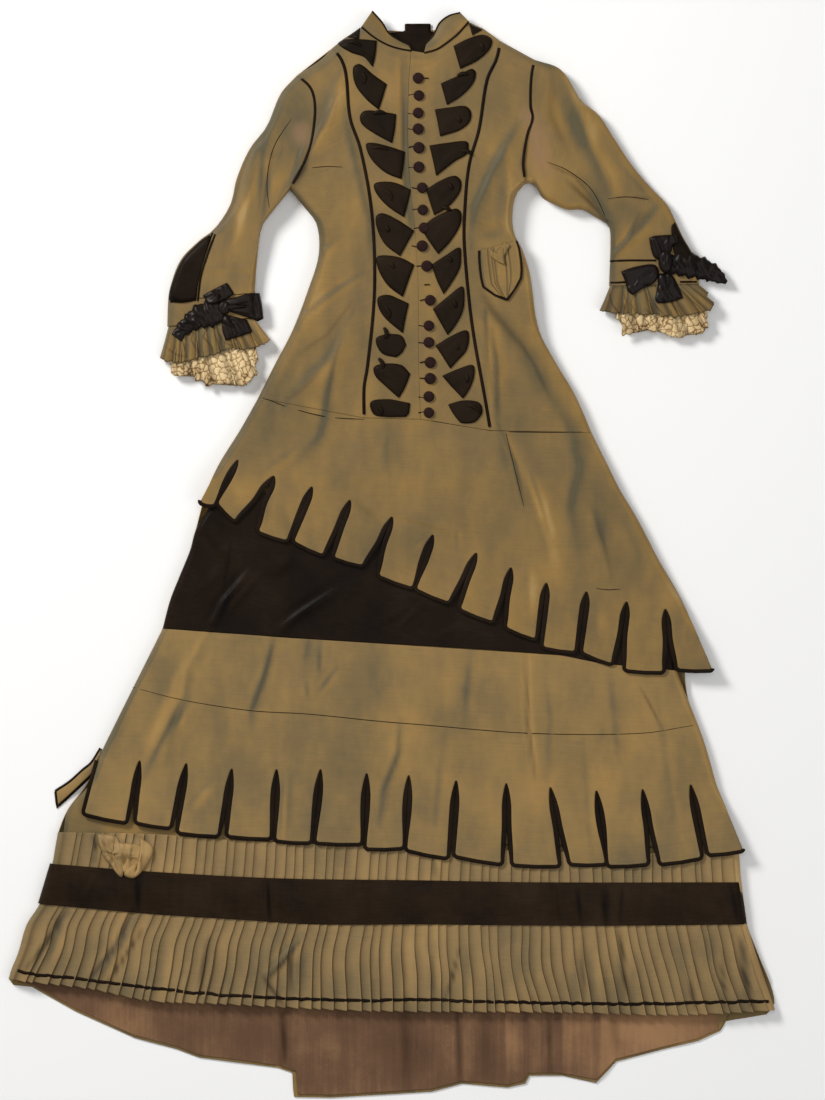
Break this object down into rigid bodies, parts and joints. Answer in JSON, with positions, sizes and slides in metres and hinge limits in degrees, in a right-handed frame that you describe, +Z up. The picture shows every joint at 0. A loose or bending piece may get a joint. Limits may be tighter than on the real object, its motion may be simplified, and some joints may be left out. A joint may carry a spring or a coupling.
{
  "type": "bustle dress",
  "caption": "Bustle dress of gold-brown changeant silk and dark satin, laid flat, with tabbed overskirt and tier, pleated flounce and train.",
  "frame": {"origin": "middle of the dress's outline as it lies, on the surface that it lies on", "axes": "+X to the right of a person who looks down on the front with the neck away from them, +Y from hem to neck, +Z up from the surface"},
  "size_m": [1.149, 1.628, 0.0344],
  "materials": {
    "silk": "changeant taffeta, dull gold-brown",
    "satin": "dark brown satin",
    "silk_lining": "plain brown lining",
    "lace": "cream machine lace",
    "button": "covered with dark cloth"
  },
  "bodies": {
    "root": {"bodice_back": "silk", "skirt_back": "silk", "train_lining": "silk_lining", "neck_lining": "satin", "side_front_left": "silk", "side_front_right": "silk", "centre_front_left": "silk", "centre_front_right": "silk", "apron": "silk", "apron_binding": "satin", "satin_panel": "satin", "tier": "silk", "tier_binding": "satin", "skirt_front": "silk", "flounce": "silk", "ribbon_band": "satin", "hem_braid": "satin", "sleeve_upper_left": "silk", "sleeve_under_left": "silk", "sleeve_upper_right": "silk", "sleeve_under_right": "silk", "cuff_panel_left": "satin", "cuff_panel_right": "satin", "ruffle_left": "silk", "ruffle_right": "silk", "lace_left": "lace", "lace_right": "lace", "bow_left": "satin", "bow_right": "satin", "cuff_ribbon_left": "satin", "cuff_ribbon_right": "satin", "collar_left": "silk", "collar_right": "silk", "side_tab": "silk", "pocket": "silk", "pocket_bow": "satin", "princess_piping_left": "satin", "princess_piping_right": "satin", "armhole_piping_left": "satin", "armhole_piping_right": "satin", "flaps_left": "satin", "flaps_right": "satin", "button_01": "button", "button_02": "button", "button_03": "button", "button_04": "button", "button_05": "button", "button_06": "button", "button_07": "button", "button_08": "button", "button_09": "button", "button_10": "button", "button_11": "button", "button_12": "button", "button_13": "button", "button_14": "button", "button_15": "button", "button_16": "button", "button_17": "button", "button_18": "button"}
  },
  "joints": []
}
